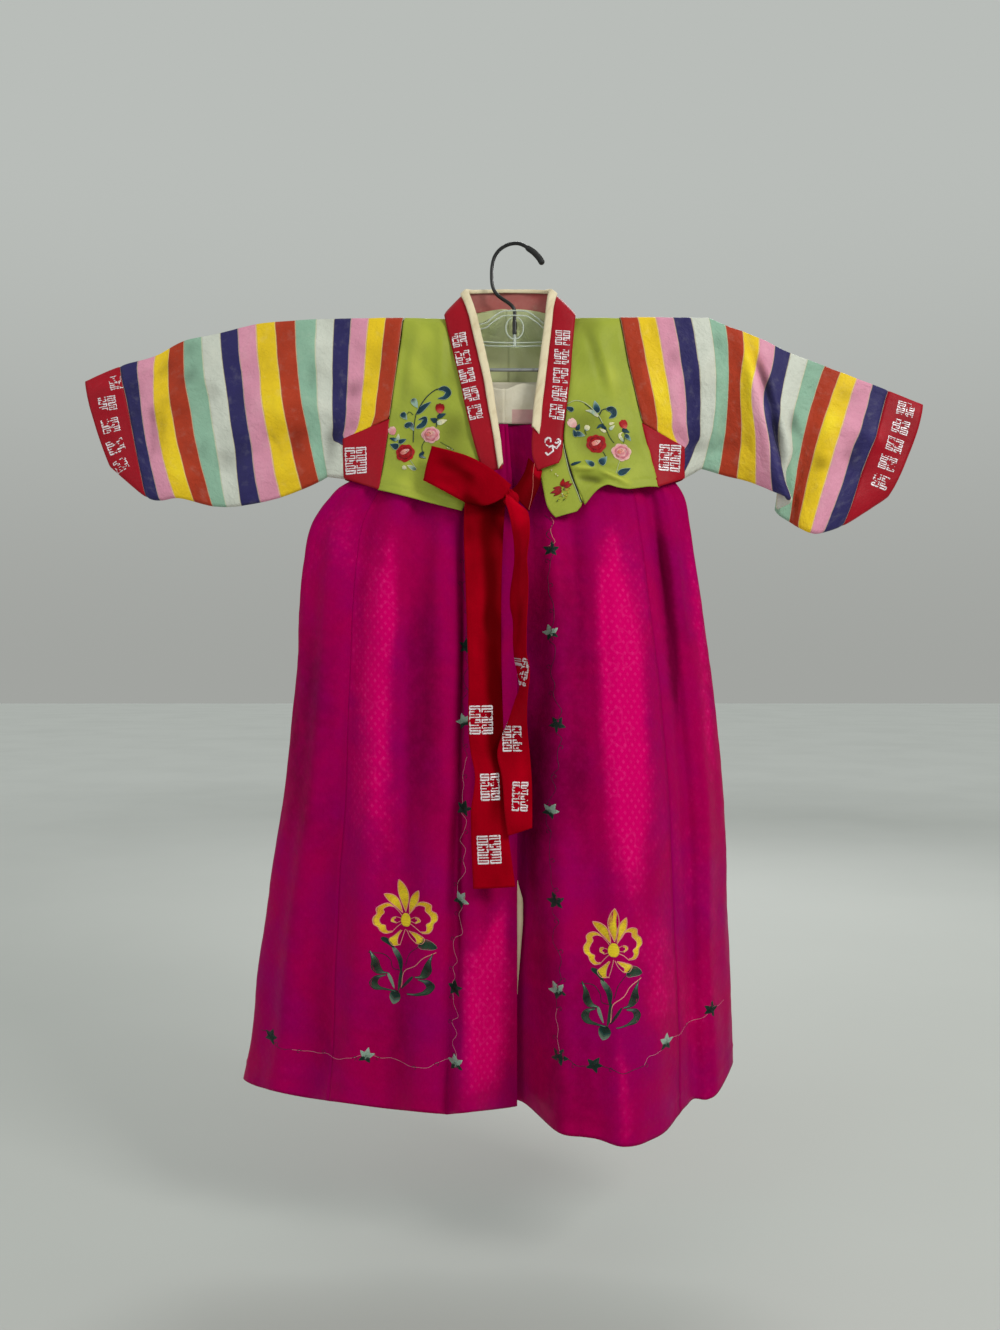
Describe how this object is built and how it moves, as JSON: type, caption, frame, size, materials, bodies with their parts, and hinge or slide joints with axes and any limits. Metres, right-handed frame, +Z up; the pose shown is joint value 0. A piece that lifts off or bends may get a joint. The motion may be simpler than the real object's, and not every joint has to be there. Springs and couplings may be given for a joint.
{
  "type": "korean hanbok on a clothes hanger",
  "caption": "Child's hanbok, a short jacket with rainbow-striped sleeves, ribbon tie and white collar trim over a full wrapped skirt, hung on a clear clothes hanger.",
  "frame": {"origin": "inner top of the hanger's hook, where a rail, peg or nail bears", "axes": "+Z up; +X across the garment, to the right of somebody who looks at its front; -Y is the way the garment's front faces"},
  "size_m": [0.8109, 0.1671, 0.8161],
  "materials": {
    "green_cloth": "yellow-green satin",
    "red_cloth": "red satin with silver foil",
    "rainbow_cloth": "satin woven in red, yellow, pink, navy, white and mint stripes",
    "white_cloth": "matt cream cotton",
    "ribbon_cloth": "thin deep red ribbon cloth with silver foil",
    "skirt_cloth": "glossy magenta jacquard with embroidery",
    "clear_plastic": "clear",
    "black_wire": "black",
    "black_rubber": "matt",
    "steel": "plated"
  },
  "bodies": {
    "root": {"jacket_body_left": "green_cloth", "jacket_body_right": "green_cloth", "seop_outer": "green_cloth", "collar": "red_cloth", "cuff_left": "red_cloth", "cuff_right": "red_cloth", "gusset_front_left": "red_cloth", "gusset_back_left": "red_cloth", "gusset_front_right": "red_cloth", "gusset_back_right": "red_cloth", "sleeve_left": "rainbow_cloth", "sleeve_right": "rainbow_cloth", "collar_trim": "white_cloth", "bodice_front_left": "white_cloth", "bodice_front_right": "white_cloth", "bodice_back": "white_cloth", "bodice_strap_left": "white_cloth", "bodice_strap_right": "white_cloth", "tie_loop": "ribbon_cloth", "tie_lead": "ribbon_cloth", "tie_knot": "ribbon_cloth", "tie_tail_left": "ribbon_cloth", "tie_tail_right": "ribbon_cloth", "skirt_panel_front_left": "skirt_cloth", "skirt_panel_back_left": "skirt_cloth", "skirt_panel_back_right": "skirt_cloth", "skirt_panel_front_right": "skirt_cloth", "hanger_body": "clear_plastic", "hanger_hook": "black_wire", "hook_tip": "black_rubber", "hanger_bar": "steel"}
  },
  "joints": []
}
